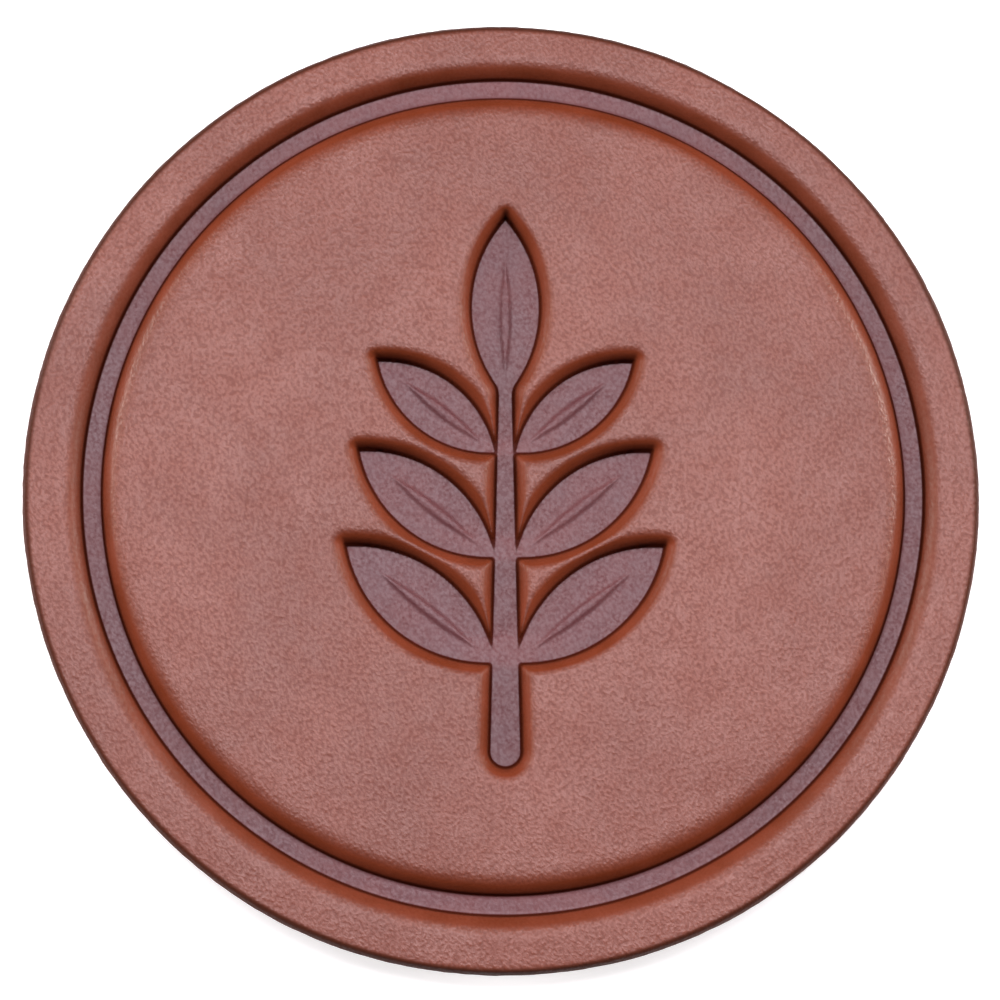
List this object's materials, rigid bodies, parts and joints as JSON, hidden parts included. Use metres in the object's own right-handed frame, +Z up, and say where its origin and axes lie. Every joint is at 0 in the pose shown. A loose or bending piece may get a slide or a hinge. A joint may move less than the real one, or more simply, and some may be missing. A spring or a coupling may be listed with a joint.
{
  "type": "stamped leather coaster",
  "caption": "Round leather coaster with a pressed border ring and a pressed leaf sprig, cemented to a thin suede backing.",
  "frame": {"origin": "centre of the underside, where the coaster rests on a table", "axes": "+Z up out of the stamped face, +Y towards the tip of the sprig's top leaf"},
  "size_m": [0.1, 0.1, 0.0043],
  "materials": {
    "grain_leather": "satin, burnished in the pressed floors",
    "contact_cement": "matte",
    "suede": "napped, matte"
  },
  "bodies": {
    "root": {"face_leather": "grain_leather", "cement_film": "contact_cement", "backing_leather": "suede"}
  },
  "joints": []
}
